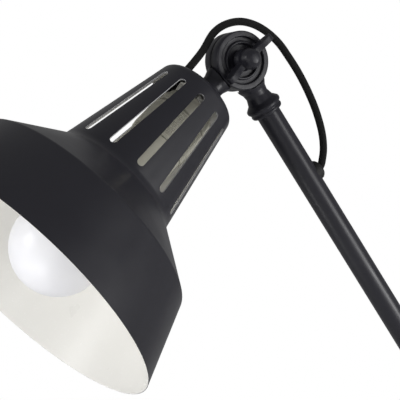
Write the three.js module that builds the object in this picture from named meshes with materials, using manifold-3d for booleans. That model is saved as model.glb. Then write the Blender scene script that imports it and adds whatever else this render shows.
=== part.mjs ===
// Architect desk lamp: a slotted spun-steel shade on a two-arm stand with three
// thumb-tightened knuckles, a weighted round base and one braided flex that runs
// inside the arms and loops over each knuckle.
//
// Frame: millimetres, +Z up, origin at the centre of the base's underside.
// The arms move in the XZ plane, and every knuckle turns about Y.

import * as THREE from 'three';
import { mergeVertices } from 'three/addons/utils/BufferGeometryUtils.js';
import Module from 'manifold-3d';

const wasm = await Module();
wasm.setup();

// ---------------------------------------------------------------- driving sizes

const GAP = 0.3; // clearance kept between touching pieces

const ARM_LENGTH = 340; // knuckle centre to knuckle centre
const TUBE_R = 8;
const TUBE_WALL = 1.5;

const BASE_PIVOT_Z = 76;
const LOWER_ARM_ANGLE = 68; // degrees from +X towards +Z
const UPPER_ARM_ANGLE = 126.35;
const SHADE_ANGLE = 223.53;

const KNUCKLE_R = 18.9;
const FRONT_FACE = 8.7; // half thickness on the thumb-nut side
const REAR_FACE = 7.7;
const BOLT_R = 3.1;

const SHADE_OFFSET = 2.9; // shade axis to stem axis, leaving room for the flex bush
const SHADE_TOP = 35; // distances from the knuckle along the shade's axis
const NECK_END = 118.9;
const SHOULDER_END = 148.6;
const RIM = 200.2;
const NECK_TOP_R = 26.7;
const NECK_END_R = 42.8;
const SHOULDER_R = 80.9;
const RIM_R = 98.6;
const SHADE_WALL = 1;
const SLOT_COUNT = 12;
const SLOT_WIDTH = 5;
const SLOT_START = 46;
const SLOT_END = 112.6;
const SLOT_PHASE = 13; // degrees from the front to the first slot

const BASE_R = 95;
const BASE_TOP_Z = 21.5;
const COVER_WALL = 1.5;

const CORD_R = 2.5;
const BUSH_BORE_R = CORD_R + GAP;
const BUSH_X = 19.4; // flex bush in the shade's top, from the stem axis
const ARM_BUSH = 91; // flex bush on an arm, from the knuckle centre
const BASE_BUSH_X = 52;
const LEAD_EXIT_Z = 8.4;

// ---------------------------------------------------------------- solid helpers

const radians = (degrees) => (degrees * Math.PI) / 180;

// Closed geometry to a manifold solid, with its faces turned outwards.
function toSolid(geometry) {
  const bare = geometry.clone();
  bare.deleteAttribute('normal');
  bare.deleteAttribute('uv');
  const merged = mergeVertices(bare, 1e-4);
  const vertProperties = new Float32Array(merged.attributes.position.array);
  const index = merged.index.array;
  const triangles = [];
  let volume = 0;
  const corner = [new THREE.Vector3(), new THREE.Vector3(), new THREE.Vector3()];
  for (let i = 0; i < index.length; i += 3) {
    const [a, b, c] = [index[i], index[i + 1], index[i + 2]];
    if (a === b || b === c || c === a) continue;
    triangles.push(a, b, c);
    [a, b, c].forEach((v, k) => corner[k].fromArray(vertProperties, 3 * v));
    volume += corner[0].dot(corner[1].clone().cross(corner[2]));
  }
  if (volume < 0) triangles.reverse();
  const triVerts = new Uint32Array(triangles);
  return new wasm.Manifold(new wasm.Mesh({ numProp: 3, vertProperties, triVerts }));
}

function toGeometry(solid) {
  const { vertProperties, triVerts } = solid.getMesh();
  const geometry = new THREE.BufferGeometry();
  geometry.setAttribute('position', new THREE.BufferAttribute(vertProperties, 3));
  geometry.setIndex(new THREE.BufferAttribute(triVerts, 1));
  geometry.computeVertexNormals();
  return geometry;
}

const join = (...solids) => solids.reduce((all, next) => all.add(next));
const cut = (solid, ...tools) => tools.reduce((left, tool) => left.subtract(tool), solid);

// Outline points are [radius, height]; the outline closes on itself or on the axis.
function turned(outline, segments, axis = 'z') {
  const points = outline.map(([r, h]) => new THREE.Vector2(r, h));
  const onAxis = outline[0][0] === 0 && outline[outline.length - 1][0] === 0;
  if (!onAxis) points.push(points[0].clone());
  const geometry = new THREE.LatheGeometry(points, segments);
  if (axis === 'z') geometry.rotateX(Math.PI / 2);
  if (axis === 'x') geometry.rotateZ(-Math.PI / 2);
  return toSolid(geometry);
}

const rod = (radius, from, to, segments, axis = 'z') =>
  turned([[0, from], [radius, from], [radius, to], [0, to]], segments, axis);

const ring = (inner, outer, from, to, segments, axis = 'z') =>
  turned([[inner, from], [outer, from], [outer, to], [inner, to]], segments, axis);

function block(sizeX, sizeY, sizeZ, x, y, z) {
  const geometry = new THREE.BoxGeometry(sizeX, sizeY, sizeZ);
  geometry.translate(x, y, z);
  return toSolid(geometry);
}

// Flat outline in X and Z, given thickness along Y about y.
function plate(shape, thickness, y = 0) {
  const geometry = new THREE.ExtrudeGeometry(shape, {
    depth: thickness,
    bevelEnabled: false,
    curveSegments: 6,
  });
  geometry.translate(0, 0, -thickness / 2);
  geometry.rotateX(Math.PI / 2);
  geometry.translate(0, y, 0);
  return geometry;
}

// Round section swept along a smooth curve through the points.
function swept(points, radius, steps, sides = 8) {
  const path = new THREE.CatmullRomCurve3(
    points.map(([x, y, z]) => new THREE.Vector3(x, y, z)),
    false,
    'centripetal',
  );
  const section = new THREE.Shape();
  for (let i = 0; i < sides; i += 1) {
    const turn = (2 * Math.PI * i) / sides;
    const x = radius * Math.cos(turn);
    const y = radius * Math.sin(turn);
    if (i === 0) section.moveTo(x, y);
    else section.lineTo(x, y);
  }
  section.closePath();
  return toSolid(new THREE.ExtrudeGeometry(section, { steps, extrudePath: path, bevelEnabled: false }));
}

// ---------------------------------------------------------------- materials

const finish = (color, roughness, metalness) =>
  new THREE.MeshStandardMaterial({ color, roughness, metalness });

const blackPaint = finish(0x2b2b2f, 0.45, 0.3);
const blackCasting = finish(0x323236, 0.5, 0.4);
const blackRubber = finish(0x141414, 0.8, 0);
const braid = finish(0x161616, 0.9, 0);
const blackPlastic = finish(0x1b1b1c, 0.4, 0);
const steel = finish(0xb8b8b8, 0.35, 1);
const brass = finish(0xb89a55, 0.35, 1);
const castIron = finish(0x3c3b3a, 0.8, 0.8);
const zincPlate = finish(0x9a9a98, 0.4, 1);
const greyPhenolic = finish(0x8c8a7e, 0.5, 0);
const ceramic = finish(0xe9e6dc, 0.3, 0);
const frostedGlass = finish(0xf2f2f6, 0.4, 0);
const fibre = finish(0x4a2d22, 0.8, 0);
const feltPad = finish(0x222222, 1, 0);

const lamp = new THREE.Group();

function piece(name, shape, material, parent = lamp) {
  const geometry = shape.isBufferGeometry ? toGeometry(toSolid(shape)) : toGeometry(shape);
  const mesh = new THREE.Mesh(geometry, material);
  mesh.name = name;
  parent.add(mesh);
  return mesh;
}

// A frame whose +Z points along an arm that leans at the angle from +X.
function frameAt(x, z, angle) {
  const frame = new THREE.Group();
  frame.position.set(x, 0, z);
  frame.rotation.y = radians(90 - angle);
  lamp.add(frame);
  return frame;
}

const along = (start, angle, length) => [
  start[0] + length * Math.cos(radians(angle)),
  start[1] + length * Math.sin(radians(angle)),
];

const basePivot = [0, BASE_PIVOT_Z];
const elbowPivot = along(basePivot, LOWER_ARM_ANGLE, ARM_LENGTH);
const headPivot = along(elbowPivot, UPPER_ARM_ANGLE, ARM_LENGTH);

// ---------------------------------------------------------------- knuckles

const DISC_SEGMENTS = 20;
const STEM_SEGMENTS = 12;
const SOCKET_FLOOR = 31; // where an arm's tube bottoms in its casting
const SOCKET_END = 39.2;

// Stem outlines are [radius, distance from the knuckle centre].
const collarStem = [
  [0, 15.2],
  [10.4, 15.2],
  [9.7, 19],
  [8.1, 22],
  [7.5, 25.5],
  [8.8, 30],
  [11.8, 33],
  [11.8, 34.6],
  [10.2, 36.4],
  [10.9, 37.4],
  [10.4, SOCKET_END],
  [0, SOCKET_END],
];

const STUD_R = 4.7;
const shadeStem = [
  [0, 15.2],
  [10.2, 15.2],
  [9.2, 19],
  [8, 22.5],
  [7.8, 26],
  [8.6, 30],
  [12, 33.4],
  [12, SHADE_TOP - GAP],
  [STUD_R, SHADE_TOP - GAP],
  [STUD_R, 50],
  [0, 50],
];

const FOOT_AT = BASE_PIVOT_Z - BASE_TOP_Z - GAP;
const footStem = [
  [0, 15.2],
  [10.4, 15.2],
  [9.7, 19],
  [8, 23],
  [7.6, 27],
  [8.6, 31],
  [11.6, 34.6],
  [10.2, 38],
  [10.4, 42],
  [13, 47],
  [17.5, 50.5],
  [21, 51.6],
  [22, FOOT_AT - 1],
  [22, FOOT_AT],
  [STUD_R, FOOT_AT],
  [STUD_R, BASE_PIVOT_Z - 5.5],
  [0, BASE_PIVOT_Z - 5.5],
];

const STEM_WIDENS = 18.5; // from the knuckle centre: as thick as the disc up to here
const STEM_FREE = 24; // and its full width from here on
const STEM_ROOM = 30;

// The stem keeps within the knuckle's thickness, and clears the other half's disc.
function stemBeside(outline, otherSide) {
  const end = outline[outline.length - 1][1] + 1;
  const edge = [[10, REAR_FACE], [STEM_WIDENS, REAR_FACE], [STEM_FREE, STEM_ROOM], [end, STEM_ROOM]];
  const mirrored = edge.map(([z, y]) => [z, -y]).reverse();
  const room = new THREE.Shape([...edge, ...mirrored].map(([z, y]) => new THREE.Vector2(z, y)));
  const geometry = new THREE.ExtrudeGeometry(room, { depth: 2 * STEM_ROOM, bevelEnabled: false });
  geometry.translate(0, 0, -STEM_ROOM);
  geometry.rotateY(-Math.PI / 2);
  const stem = turned(outline, STEM_SEGMENTS).intersect(toSolid(geometry));
  const sweep = rod(KNUCKLE_R + 3 * GAP, 0, otherSide * 14, DISC_SEGMENTS, 'y');
  return stem.subtract(sweep.translate([0, -otherSide * GAP, 0]));
}

// Thumb-nut half: a recessed face with a raised ring round the washer's seat.
function frontCasting(outline) {
  const blank = turned(
    [
      [0, -GAP],
      [KNUCKLE_R, -GAP],
      [KNUCKLE_R, -FRONT_FACE + 0.8],
      [KNUCKLE_R - 0.8, -FRONT_FACE],
      [0, -FRONT_FACE],
    ],
    DISC_SEGMENTS,
    'y',
  );
  const relief = turned(
    [
      [0, -10],
      [15.1, -10],
      [15.1, -6.9],
      [12.3, -6.9],
      [12.3, -8.4],
      [10.8, -8.4],
      [10.8, -5.7],
      [BOLT_R + GAP, -5.7],
      [BOLT_R + GAP, -1.1],
      [15.3, -1.1],
      [15.3, 1],
      [0, 1],
    ],
    DISC_SEGMENTS,
    'y',
  );
  return cut(join(blank, stemBeside(outline, 1)), relief);
}

// Bolt-head half, with a shallow seat for the head.
function rearCasting(outline) {
  const blank = turned(
    [
      [0, GAP],
      [KNUCKLE_R, GAP],
      [KNUCKLE_R, REAR_FACE - 0.8],
      [KNUCKLE_R - 0.8, REAR_FACE],
      [0, REAR_FACE],
    ],
    DISC_SEGMENTS,
    'y',
  );
  const seat = turned(
    [[0, -1], [BOLT_R + GAP, -1], [BOLT_R + GAP, 6.2], [9, 6.2], [9, 10], [0, 10]],
    DISC_SEGMENTS,
    'y',
  );
  return cut(join(blank, stemBeside(outline, -1)), seat);
}

const tubeSocket = () => rod(TUBE_R + GAP, SOCKET_FLOOR, SOCKET_END + 1, 20);

// Wing outline in [distance from the bolt, distance in front of the hinge plane].
function wingOutline(side) {
  const shape = new THREE.Shape();
  shape.moveTo(side * 3.8, 9.2);
  shape.lineTo(side * 10, 10);
  shape.quadraticCurveTo(side * 18, 11, side * 21, 14.5);
  shape.quadraticCurveTo(side * 23.2, 18.5, side * 19.6, 19.8);
  shape.quadraticCurveTo(side * 14.5, 20, side * 10, 17.6);
  shape.lineTo(side * 3.8, 16.8);
  shape.closePath();
  return shape;
}

const WING_ANGLE = 45.5; // wings' lean from +X in the hinge plane
const WING_THICKNESS = 3.8;

function wingNut() {
  const hub = turned(
    [
      [0, -24.6],
      [3.2, -23.8],
      [5.6, -21.7],
      [6.9, -17.7],
      [5.9, -13.2],
      [7.2, -9],
      [6.8, -7.5],
      [BOLT_R + 0.4, -7.5],
      [BOLT_R + 0.4, -14.4],
      [0, -14.4],
    ],
    14,
    'y',
  );
  const wings = [1, -1].map((side) => {
    const geometry = new THREE.ExtrudeGeometry(wingOutline(side), {
      depth: WING_THICKNESS,
      bevelEnabled: false,
      curveSegments: 4,
    });
    geometry.translate(0, 0, -WING_THICKNESS / 2);
    geometry.rotateX(Math.PI);
    return toSolid(geometry);
  });
  return join(hub, ...wings);
}

const clampBolt = () =>
  turned(
    [
      [0, -14],
      [BOLT_R, -14],
      [BOLT_R, 6.5],
      [6.4, 6.5],
      [6.4, 8.4],
      [4.6, 10.4],
      [0, 11.2],
    ],
    14,
    'y',
  );

// The loose hardware of one knuckle, in the frame of the front casting.
function knuckleHardware(prefix, frame) {
  piece(`${prefix}_bolt`, clampBolt(), steel, frame);
  piece(`${prefix}_friction_washer`, ring(BOLT_R + 0.6, 15, -0.8, 0, 20, 'y'), fibre, frame);
  piece(`${prefix}_washer`, ring(BOLT_R + GAP, 7.1, -7.2, -6, 16, 'y'), steel, frame);
}

function thumbNut(prefix, pivot) {
  const frame = new THREE.Group();
  frame.position.set(pivot[0], 0, pivot[1]);
  frame.rotation.y = radians(-WING_ANGLE);
  lamp.add(frame);
  piece(`${prefix}_wing_nut`, wingNut(), blackCasting, frame);
}

// ---------------------------------------------------------------- arms

// Domed rubber bush that saddles the tube; its bore runs along X.
function armBush(z) {
  const saddle = rod(TUBE_R + GAP, -20, 20, 20);
  const dome = turned([[0, 3], [6.8, 3], [6.8, 8.8], [5.8, 10.2], [4.4, 11], [0, 11]], 16, 'x');
  const neck = rod(3.8, 5.9, 9, 12, 'x');
  const bore = rod(BUSH_BORE_R, 0, 14, 12, 'x');
  return cut(join(cut(dome, saddle), neck), bore).translate([0, 0, z]);
}

// An arm stands on its lower pivot with +Z towards the upper one, flex side at +X.
function makeArm(name, lowerKnuckle, upperKnuckle, pivot, angle) {
  const frame = frameAt(pivot[0], pivot[1], angle);
  const top = new THREE.Group();
  top.position.z = ARM_LENGTH;
  top.rotation.x = Math.PI;
  frame.add(top);

  piece(`${lowerKnuckle}_upper_casting`, cut(rearCasting(collarStem), tubeSocket()), blackCasting, frame);

  const tube = ring(TUBE_R - TUBE_WALL, TUBE_R, SOCKET_FLOOR + GAP, ARM_LENGTH - SOCKET_FLOOR - GAP, 20);
  const bushHeights = [ARM_BUSH, ARM_LENGTH - ARM_BUSH];
  const holes = bushHeights.map((z) => rod(4.1, 0, 14, 12, 'x').translate([0, 0, z]));
  piece(`${name}_tube`, cut(tube, ...holes), blackPaint, frame);
  piece(`${name}_lower_bush`, armBush(bushHeights[0]), blackRubber, frame);
  piece(`${name}_upper_bush`, armBush(bushHeights[1]), blackRubber, frame);

  // The top casting is turned over, so its front face is made on the other side.
  const topCasting = cut(frontCasting(collarStem), tubeSocket()).mirror([0, 1, 0]);
  piece(`${upperKnuckle}_lower_casting`, topCasting, blackCasting, top);

  const turn = 5; // radius of the flex's bend inside each bush
  const bend = (z, side) => [
    [turn + 0.5, 0, z],
    ...[0, 30, 60, 90].map((step) => [
      turn - turn * Math.sin(radians(step)),
      0,
      z + side * (turn - turn * Math.cos(radians(step))),
    ]),
  ];
  const inside = [
    ...bend(bushHeights[0], 1),
    [0, 0, ARM_LENGTH / 2 - 20],
    [0, 0, ARM_LENGTH / 2 + 20],
    ...bend(bushHeights[1], -1).reverse(),
  ];
  piece(`${name}_inner_flex`, swept(inside, CORD_R, 24), braid, frame);
}

// ---------------------------------------------------------------- shade and lampholder

const FILLET_STEPS = 2;
const SHADE_SEGMENTS = 36;

// Points of a fillet between two straight stretches, worked out from its radius.
function fillet(before, corner, after, radius, steps) {
  const toBefore = new THREE.Vector2(before[0] - corner[0], before[1] - corner[1]).normalize();
  const toAfter = new THREE.Vector2(after[0] - corner[0], after[1] - corner[1]).normalize();
  const half = toBefore.angleTo(toAfter) / 2;
  const middle = toBefore.clone().add(toAfter).normalize();
  const centre = middle.clone().multiplyScalar(radius / Math.sin(half));
  const start = toBefore.clone().multiplyScalar(radius / Math.tan(half)).sub(centre);
  const end = toAfter.clone().multiplyScalar(radius / Math.tan(half)).sub(centre);
  const sweep = Math.atan2(start.cross(end), start.dot(end));
  return Array.from({ length: steps + 1 }, (unused, i) => {
    const point = start.clone().rotateAround(new THREE.Vector2(), (sweep * i) / steps).add(centre);
    return [corner[0] + point.x, corner[1] + point.y];
  });
}

// The shade's skin, offset inwards by inset; [radius, distance from the knuckle].
function shadeSkin(inset) {
  const topR = NECK_TOP_R - inset;
  const corners = [
    [0, SHADE_TOP + inset],
    [topR, SHADE_TOP + inset],
    [NECK_END_R - inset, NECK_END],
    [SHOULDER_R - inset, SHOULDER_END + inset * 0.4],
    [RIM_R - inset, RIM],
  ];
  const radii = [5.5 - inset, 11 + inset, 3.2 - inset];
  const bends = radii.map((radius, i) =>
    fillet(corners[i], corners[i + 1], corners[i + 2], radius, FILLET_STEPS),
  );
  return [corners[0], ...bends.flat(), corners[4]];
}

// One vent slot with round ends, cut radially through the neck.
function slotCutter(turn) {
  const half = SLOT_WIDTH / 2;
  const shape = new THREE.Shape();
  shape.moveTo(half, SLOT_START + half);
  shape.lineTo(half, SLOT_END - half);
  shape.absarc(0, SLOT_END - half, half, 0, Math.PI, false);
  shape.lineTo(-half, SLOT_START + half);
  shape.absarc(0, SLOT_START + half, half, Math.PI, 2 * Math.PI, false);
  shape.closePath();
  const geometry = new THREE.ExtrudeGeometry(shape, { depth: 45, bevelEnabled: false, curveSegments: 4 });
  geometry.translate(0, 0, 15);
  geometry.rotateX(Math.PI / 2);
  geometry.rotateZ(radians(turn));
  return toSolid(geometry);
}

function shadeShell() {
  const outline = [...shadeSkin(0), ...shadeSkin(SHADE_WALL).reverse()];
  const slots = Array.from({ length: SLOT_COUNT }, (unused, i) =>
    slotCutter(SLOT_PHASE + (360 / SLOT_COUNT) * i),
  );
  const body = cut(turned(outline, SHADE_SEGMENTS), ...slots).translate([SHADE_OFFSET, 0, 0]);
  const studHole = rod(STUD_R + 0.4, 30, 40, 14);
  const bushHole = rod(4.1, 30, 40, 12).translate([BUSH_X, 0, 0]);
  return cut(body, studHole, bushHole);
}

// Grooved rubber bush held in a thin wall between z and z + wall.
const panelBush = (z, wall) =>
  turned(
    [
      [BUSH_BORE_R, z - 3],
      [3.8, z - 3],
      [4.9, z - 1.6],
      [4.9, z - GAP],
      [3.8, z - GAP],
      [3.8, z + wall + GAP],
      [4.9, z + wall + GAP],
      [4.6, z + wall + 1.8],
      [BUSH_BORE_R, z + wall + 1.8],
    ],
    14,
  );

function hexNut(acrossFlats, boreR, from, to) {
  const cornerR = acrossFlats / Math.sqrt(3);
  const body = turned([[0, from], [cornerR, from], [cornerR, to], [0, to]], 6);
  return cut(body, rod(boreR, from - 1, to + 1, 14));
}

function makeHead() {
  const frame = frameAt(headPivot[0], headPivot[1], SHADE_ANGLE);
  const inside = SHADE_TOP + SHADE_WALL;
  piece('head_upper_casting', rearCasting(shadeStem), blackCasting, frame);
  piece('shade', shadeShell(), blackPaint, frame);
  const bush = panelBush(SHADE_TOP, SHADE_WALL).translate([BUSH_X, 0, 0]);
  piece('shade_flex_bush', bush, blackRubber, frame);
  piece('shade_washer', ring(STUD_R + GAP, 9.5, inside + GAP, inside + 1.5, 16), zincPlate, frame);
  piece('shade_nut', hexNut(14, STUD_R + GAP, inside + 1.8, inside + 6.3), zincPlate, frame);

  const capTop = 43.6;
  const capOutside = [[STUD_R + GAP, capTop], [12, capTop], [15.5, 45], [18, 48.5], [19.4, 54], [20, 60]];
  const capInside = [[18.3, 79.5], [18.3, 58], [17.4, 52], [15, 47.5], [STUD_R + GAP, 47.5]];
  const cap = turned([...capOutside, [20, 79.5], ...capInside], 20);
  piece('lampholder_cap', cap, greyPhenolic, frame);
  const bodyOutline = [
    [19, 79.8],
    [19, 110.5],
    [18, 112],
    [15.6, 112],
    [15.6, 68],
    [18, 68],
    [18, 79.8],
  ];
  piece('lampholder_body', turned(bodyOutline, 20), greyPhenolic, frame);
  const insulator = turned([[0, 53], [9, 53], [12, 56], [15.3, 62], [15.3, 80], [0, 80]], 16);
  piece('lampholder_insulator', insulator, ceramic, frame);
  piece('lampholder_screw_shell', ring(14.3, 15.2, 80.3, 106, 20), brass, frame);

  const capOutline = [[0, 82.5], [4, 82.8], [9, 86.5], [13.2, 88.5], [13.2, 111], [0, 111]];
  piece('bulb_cap', turned(capOutline, 20), zincPlate, frame);
  piece('bulb_glass', turned(bulbOutline(), 24), frostedGlass, frame);
}

// Round bulb: a ball on a flared neck.
function bulbOutline() {
  const ballR = 30;
  const ballAt = 170.5;
  const neck = [[0, 111.3], [14, 111.3], [15.2, 118], [17.6, 128], [21.4, 139], [25.6, 149]];
  const ball = [];
  for (let angle = -34; angle < 90; angle += 20) {
    ball.push([ballR * Math.cos(radians(angle)), ballAt + ballR * Math.sin(radians(angle))]);
  }
  return [...neck, ...ball, [0, ballAt + ballR]];
}

// ---------------------------------------------------------------- base

const BASE_SEGMENTS = 36;

function makeBase() {
  const coverOutside = [
    [0, BASE_TOP_Z],
    [63.5, BASE_TOP_Z],
    [66.4, 20.2],
    [69, 17.6],
    [88, 16],
    [93.4, 14.4],
    [BASE_R, 11],
    [BASE_R, 2.4],
  ];
  const coverInside = [
    [BASE_R - COVER_WALL, 2.4],
    [BASE_R - COVER_WALL, 10.8],
    [92, 13.2],
    [87.6, 14.5],
    [68.2, 16.1],
    [63, BASE_TOP_Z - COVER_WALL],
    [0, BASE_TOP_Z - COVER_WALL],
  ];
  const cover = cut(
    turned([...coverOutside, ...coverInside], BASE_SEGMENTS),
    rod(STUD_R + GAP, 15, 30, 14),
    rod(4.1, 15, 30, 12).translate([BASE_BUSH_X, 0, 0]),
    rod(3.9, 80, 110, 14, 'x').translate([0, 0, LEAD_EXIT_Z]),
  );
  piece('base_cover', cover, blackPaint);

  const weightOutline = [
    [STUD_R + 1, 10.4],
    [13, 10.4],
    [13, 4],
    [90, 4],
    [90, 10.6],
    [86, 13.4],
    [69, 14.6],
    [62, 19.4],
    [STUD_R + 1, 19.4],
  ];
  const channel = block(60, 11, 30, 70, 0, 12);
  piece('base_weight', cut(turned(weightOutline, BASE_SEGMENTS), channel), castIron);
  piece('base_plate', ring(14, BASE_R - COVER_WALL - GAP, 2.4, 3.7, BASE_SEGMENTS), zincPlate);
  piece('base_pad', rod(BASE_R - 3, 0, 2.1, BASE_SEGMENTS), feltPad);
  piece('base_washer', ring(STUD_R + GAP, 11, 8.9, 10.1, 16), zincPlate);
  piece('base_nut', hexNut(15, STUD_R + GAP, 4, 8.6), zincPlate);

  const stand = frameAt(basePivot[0], basePivot[1], -90);
  piece('base_stem_casting', frontCasting(footStem), blackCasting, stand);
  knuckleHardware('base_knuckle', stand);

  const bush = panelBush(-BASE_TOP_Z, COVER_WALL).rotate([180, 0, 0]).translate([BASE_BUSH_X, 0, 0]);
  piece('base_flex_bush', bush, blackRubber);

  const innerFlex = [
    [BASE_BUSH_X, 0, BASE_TOP_Z - 4.2],
    [BASE_BUSH_X + 0.6, 0, BASE_TOP_Z - 6.4],
    [BASE_BUSH_X + 3, 0, 11],
    [BASE_BUSH_X + 8, 0, 8.7],
    [BASE_BUSH_X + 18, 0, LEAD_EXIT_Z],
    [84.7, 0, LEAD_EXIT_Z],
  ];
  piece('base_inner_flex', swept(innerFlex, CORD_R, 10), braid);

  const reliefOutline = [
    [CORD_R + GAP, 86],
    [4.4, 86],
    [4.4, 91.6],
    [3.6, 91.6],
    [3.6, 95.6],
    [5.4, 95.6],
    [5.4, 98],
    [3.5, 124],
    [CORD_R + GAP, 124],
  ];
  piece('mains_strain_relief', turned(reliefOutline, 14, 'x').translate([0, 0, LEAD_EXIT_Z]), blackRubber);
}

// ---------------------------------------------------------------- flex

// From one frame's [x, z] to the lamp's.
function fromFrame(pivot, angle, [x, z]) {
  const turn = radians(90 - angle);
  return [
    pivot[0] + x * Math.cos(turn) + z * Math.sin(turn),
    0,
    pivot[1] - x * Math.sin(turn) + z * Math.cos(turn),
  ];
}

const fromPivot = (pivot, points) => points.map(([x, z]) => [pivot[0] + x, 0, pivot[1] + z]);

function makeLoops() {
  const bushEnd = 5.9;
  const atBush = 11.2;
  const clearOfBush = 13.5;
  const out = (pivot, angle, z) =>
    [bushEnd, atBush, clearOfBush].map((x) => fromFrame(pivot, angle, [x, z]));
  const into = (pivot, angle, z) => out(pivot, angle, z).reverse();
  const head = [
    fromFrame(headPivot, SHADE_ANGLE, [BUSH_X, SHADE_TOP + 2]),
    fromFrame(headPivot, SHADE_ANGLE, [BUSH_X, SHADE_TOP - 4]),
    ...fromPivot(headPivot, [
      [-24.9, 5],
      [-16.6, 17.3],
      [-8.5, 22.9],
      [2, 25.6],
      [12, 24.6],
      [21.7, 20.7],
      [31.6, 13.6],
      [39.4, 4.7],
      [47, -5.3],
      [54.8, -18],
      [60.8, -30.4],
      [65.2, -44],
      [66.3, -54],
      [65.6, -60.4],
    ]),
    fromFrame(elbowPivot, UPPER_ARM_ANGLE, [atBush + 1.2, ARM_LENGTH - ARM_BUSH]),
    fromFrame(elbowPivot, UPPER_ARM_ANGLE, [bushEnd, ARM_LENGTH - ARM_BUSH]),
  ];
  piece('head_flex_loop', swept(head, CORD_R, 26), braid);

  const elbow = [
    ...out(elbowPivot, UPPER_ARM_ANGLE, ARM_BUSH),
    ...fromPivot(elbowPivot, [
      [-36, 85.5],
      [-27, 86],
      [-16, 80],
      [-4, 68],
      [9, 51],
      [19, 32],
      [26, 12],
      [28, -8],
      [25, -28],
      [18, -49],
      [9, -69],
      [3, -82],
      [-4, -90],
      [-12, -92.6],
    ]),
    ...into(basePivot, LOWER_ARM_ANGLE, ARM_LENGTH - ARM_BUSH),
  ];
  piece('elbow_flex_loop', swept(elbow, CORD_R, 26), braid);

  const base = [
    ...out(basePivot, LOWER_ARM_ANGLE, ARM_BUSH),
    ...fromPivot(basePivot, [
      [56, 76],
      [66, 63],
      [73, 44],
      [76, 22],
      [75, 0],
      [69, -20],
      [60, -34],
      [53, -45],
    ]),
    [BASE_BUSH_X, 0, BASE_TOP_Z + 4],
    [BASE_BUSH_X, 0, BASE_TOP_Z - 3.3],
  ];
  piece('base_flex_loop', swept(base, CORD_R, 22), braid);
}

// The mains lead leaves the base at +X, carries a rocker switch, and is put away
// in a coil behind the base with its plug beside it.
const LEAD_Z = CORD_R + 0.3;
const SWITCH_AT = [150, 85];
const SWITCH_ANGLE = 112; // the lead's heading through the switch, from +X towards +Y
const SWITCH_LENGTH = 58;
const SWITCH_HALF_WIDTH = 12;
const SWITCH_SPLIT = 9;
const SWITCH_TOP = 18;
const ROCKER_PIVOT_Z = 16;
const ROCKER_TILT = 8;

const COIL_AT = [36, 152];
const COIL_R = 29; // at the middle of the turns
const COIL_WIDTH = 20.5;
const COIL_LOW = 1.4;
const COIL_HIGH = 11.1;
const TIE_WIDTH = 7;
const TIE_WALL = 1;

const PLUG_AT = [-35.6, 142.3];
const PLUG_ANGLE = 196;
const PLUG_THICKNESS = 13.7;
const PLUG_MIDDLE = 7;
const PIN_SPACING = 19;

const alongSwitch = (distance, z) => [
  SWITCH_AT[0] + distance * Math.cos(radians(SWITCH_ANGLE)),
  SWITCH_AT[1] + distance * Math.sin(radians(SWITCH_ANGLE)),
  z,
];

// Straight out of the strain relief, down to the table and round to the coil.
const leadRoute = [
  [85, 0, LEAD_EXIT_Z],
  [104, 0, LEAD_EXIT_Z],
  [124, 0, LEAD_EXIT_Z],
  [128, 0, LEAD_EXIT_Z - 0.1],
  [140, 2.4, 5],
  [152, 9, LEAD_Z],
  [161, 20, LEAD_Z],
  [165.6, 33, LEAD_Z + 1.4],
  [165.8, 44, 6.8],
  alongSwitch(-36, SWITCH_SPLIT),
  alongSwitch(-32, SWITCH_SPLIT),
  alongSwitch(0, SWITCH_SPLIT),
  alongSwitch(32, SWITCH_SPLIT),
  alongSwitch(36, SWITCH_SPLIT),
  [131.6, 129, 6.2],
  [125, 140, LEAD_Z + 1],
  [115, 153, LEAD_Z],
  [101, 167, LEAD_Z],
  [83, 180, LEAD_Z],
  [64, 189, LEAD_Z + 0.5],
  [46.9, 193.4, COIL_LOW + CORD_R],
];

const tailRoute = [
  [-0.8, 173.4, 7.4],
  [-8.5, 161.5, 4],
  [-18, 151, LEAD_Z + 0.4],
  [-25, 146, 5],
  [-31.5, 143.5, PLUG_MIDDLE],
  [-35, 142.48, PLUG_MIDDLE],
];

function flatFrame([x, y], angle) {
  const frame = new THREE.Group();
  frame.position.set(x, y, 0);
  frame.rotation.z = radians(angle);
  lamp.add(frame);
  return frame;
}

// Outline in plan, [x, y], stood up from one height to another.
function slice(points, from, to) {
  const shape = new THREE.Shape(points.map(([x, y]) => new THREE.Vector2(x, y)));
  const geometry = new THREE.ExtrudeGeometry(shape, { depth: to - from, bevelEnabled: false });
  geometry.translate(0, 0, from);
  return toSolid(geometry);
}

function makeSwitch() {
  const frame = flatFrame(SWITCH_AT, SWITCH_ANGLE);
  const half = SWITCH_LENGTH / 2;
  const wide = SWITCH_HALF_WIDTH;
  const quarter = [
    [half, 5],
    [half - 1.5, 7.5],
    [half - 12, wide - 1],
    [half - 16, wide],
  ];
  const upper = [...quarter, ...quarter.map(([x, y]) => [-x, y]).reverse()];
  const outline = [...upper, ...upper.map(([x, y]) => [x, -y]).reverse()];
  const channel = rod(BUSH_BORE_R, -half - 5, half + 5, 16, 'x').translate([0, 0, SWITCH_SPLIT]);
  const pocket = block(16, 10.8, 12, 0, 0, 11.5 + 6);
  const top = slice(outline, SWITCH_SPLIT + GAP / 2, SWITCH_TOP);
  const bottom = slice(outline, 0.1, SWITCH_SPLIT - GAP / 2);
  piece('switch_top', cut(top, channel, pocket), blackPlastic, frame);
  piece('switch_bottom', cut(bottom, channel), blackPlastic, frame);

  const rocker = new THREE.Shape(
    [[-7, 2.8], [0, 1.6], [7, 2.8], [7, 0.5], [4, -3], [-4, -3], [-7, 0.5]].map(
      ([x, z]) => new THREE.Vector2(x, z),
    ),
  );
  const rockerFrame = new THREE.Group();
  rockerFrame.position.z = ROCKER_PIVOT_Z;
  rockerFrame.rotation.y = radians(ROCKER_TILT);
  frame.add(rockerFrame);
  piece('switch_rocker', plate(rocker, 10), blackPlastic, rockerFrame);
}

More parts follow.
